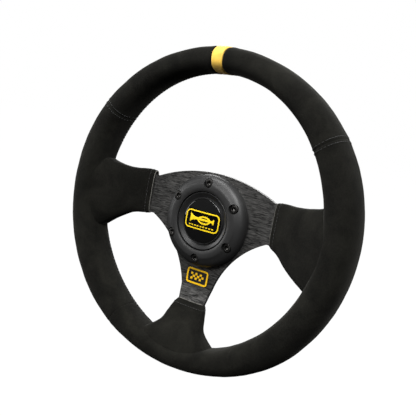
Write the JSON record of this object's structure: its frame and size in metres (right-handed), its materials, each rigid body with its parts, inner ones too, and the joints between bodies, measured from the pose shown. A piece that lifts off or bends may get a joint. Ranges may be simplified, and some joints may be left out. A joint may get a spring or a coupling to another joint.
{
  "type": "quick release steering wheel",
  "caption": "Round racing steering wheel with a padded suede grip, flat spoke plate, screwed horn ring with a sprung horn push, and a ball-lock quick release behind.",
  "frame": {"origin": "middle of the quick release socket's pilot bore, on the steering axis behind the wheel", "axes": "+Y along the steering axis, away from the driver and out of the socket; +Z to the rim's top mark; +X to the driver's right"},
  "size_m": [0.3156, 0.0823, 0.3071],
  "materials": {
    "suede": "black brushed suede with a short nap",
    "foam": "moulded foam",
    "bar": "mill finish",
    "plate": "black anodised over brushed aluminium",
    "band": "yellow leather",
    "ring": "satin black",
    "screws": "dark plated steel",
    "plastic": "black moulding",
    "cap": "satin black moulding",
    "emblem": "gloss black",
    "emblem_mark": "gloss yellow",
    "badge": "satin black",
    "badge_mark": "yellow",
    "brass": "stamped brass",
    "spring": "spring steel",
    "steel": "ground steel",
    "hub": "black anodised",
    "collar": "clear anodised"
  },
  "bodies": {
    "wheel": {"spoke_plate": "plate", "rim_core": "bar", "grip_foam_top": "foam", "grip_foam_low_left": "foam", "grip_foam_low_right": "foam", "suede_top_left": "suede", "suede_top_right": "suede", "suede_left": "suede", "suede_right": "suede", "suede_bottom": "suede", "centre_band": "band", "sleeve_left": "suede", "sleeve_right": "suede", "sleeve_bottom": "suede", "horn_ring": "ring", "ring_screws": "screws", "horn_cup": "plastic", "horn_insulator": "plastic", "horn_contact_ring": "brass", "horn_terminals": "brass", "horn_spring": "spring", "spoke_badge": "badge", "badge_border": "badge_mark", "release_flange": "hub", "release_socket": "hub", "collar_spring": "spring", "stop_washer": "steel", "retaining_ring": "steel"},
    "horn_button": {"horn_cap": "cap", "emblem_disc": "emblem", "emblem_frame": "emblem_mark", "horn_contact_plate": "brass"},
    "collar": {"release_collar": "collar"},
    "ball_1": {"lock_ball_1": "steel"},
    "ball_2": {"lock_ball_2": "steel"},
    "ball_3": {"lock_ball_3": "steel"},
    "ball_4": {"lock_ball_4": "steel"},
    "ball_5": {"lock_ball_5": "steel"},
    "ball_6": {"lock_ball_6": "steel"}
  },
  "joints": [
    {"name": "horn_push", "type": "slide", "parent": "wheel", "child": "horn_button", "axis": [0, 1, 0], "range_m": [0, 0.002], "stiffness_N_per_m": 2500, "springref_m": -0.002, "deforming": ["horn_spring"]},
    {"name": "collar_slide", "type": "slide", "parent": "wheel", "child": "collar", "axis": [0, -1, 0], "range_m": [0, 0.008], "stiffness_N_per_m": 1500, "springref_m": -0.008, "deforming": ["collar_spring"]},
    {"name": "ball_1_slide", "type": "slide", "parent": "wheel", "child": "ball_1", "axis": [1, 0, 0], "range_m": [0, 0.0016]},
    {"name": "ball_2_slide", "type": "slide", "parent": "wheel", "child": "ball_2", "axis": [0.5, 0, 0.866], "range_m": [0, 0.0016]},
    {"name": "ball_3_slide", "type": "slide", "parent": "wheel", "child": "ball_3", "axis": [-0.5, 0, 0.866], "range_m": [0, 0.0016]},
    {"name": "ball_4_slide", "type": "slide", "parent": "wheel", "child": "ball_4", "axis": [-1, 0, 0], "range_m": [0, 0.0016]},
    {"name": "ball_5_slide", "type": "slide", "parent": "wheel", "child": "ball_5", "axis": [-0.5, 0, -0.866], "range_m": [0, 0.0016]},
    {"name": "ball_6_slide", "type": "slide", "parent": "wheel", "child": "ball_6", "axis": [0.5, 0, -0.866], "range_m": [0, 0.0016]}
  ],
  "couplings": [
    {"joint": "ball_1_slide", "follows": "collar_slide", "ratio": 0.2},
    {"joint": "ball_2_slide", "follows": "collar_slide", "ratio": 0.2},
    {"joint": "ball_3_slide", "follows": "collar_slide", "ratio": 0.2},
    {"joint": "ball_4_slide", "follows": "collar_slide", "ratio": 0.2},
    {"joint": "ball_5_slide", "follows": "collar_slide", "ratio": 0.2},
    {"joint": "ball_6_slide", "follows": "collar_slide", "ratio": 0.2}
  ]
}
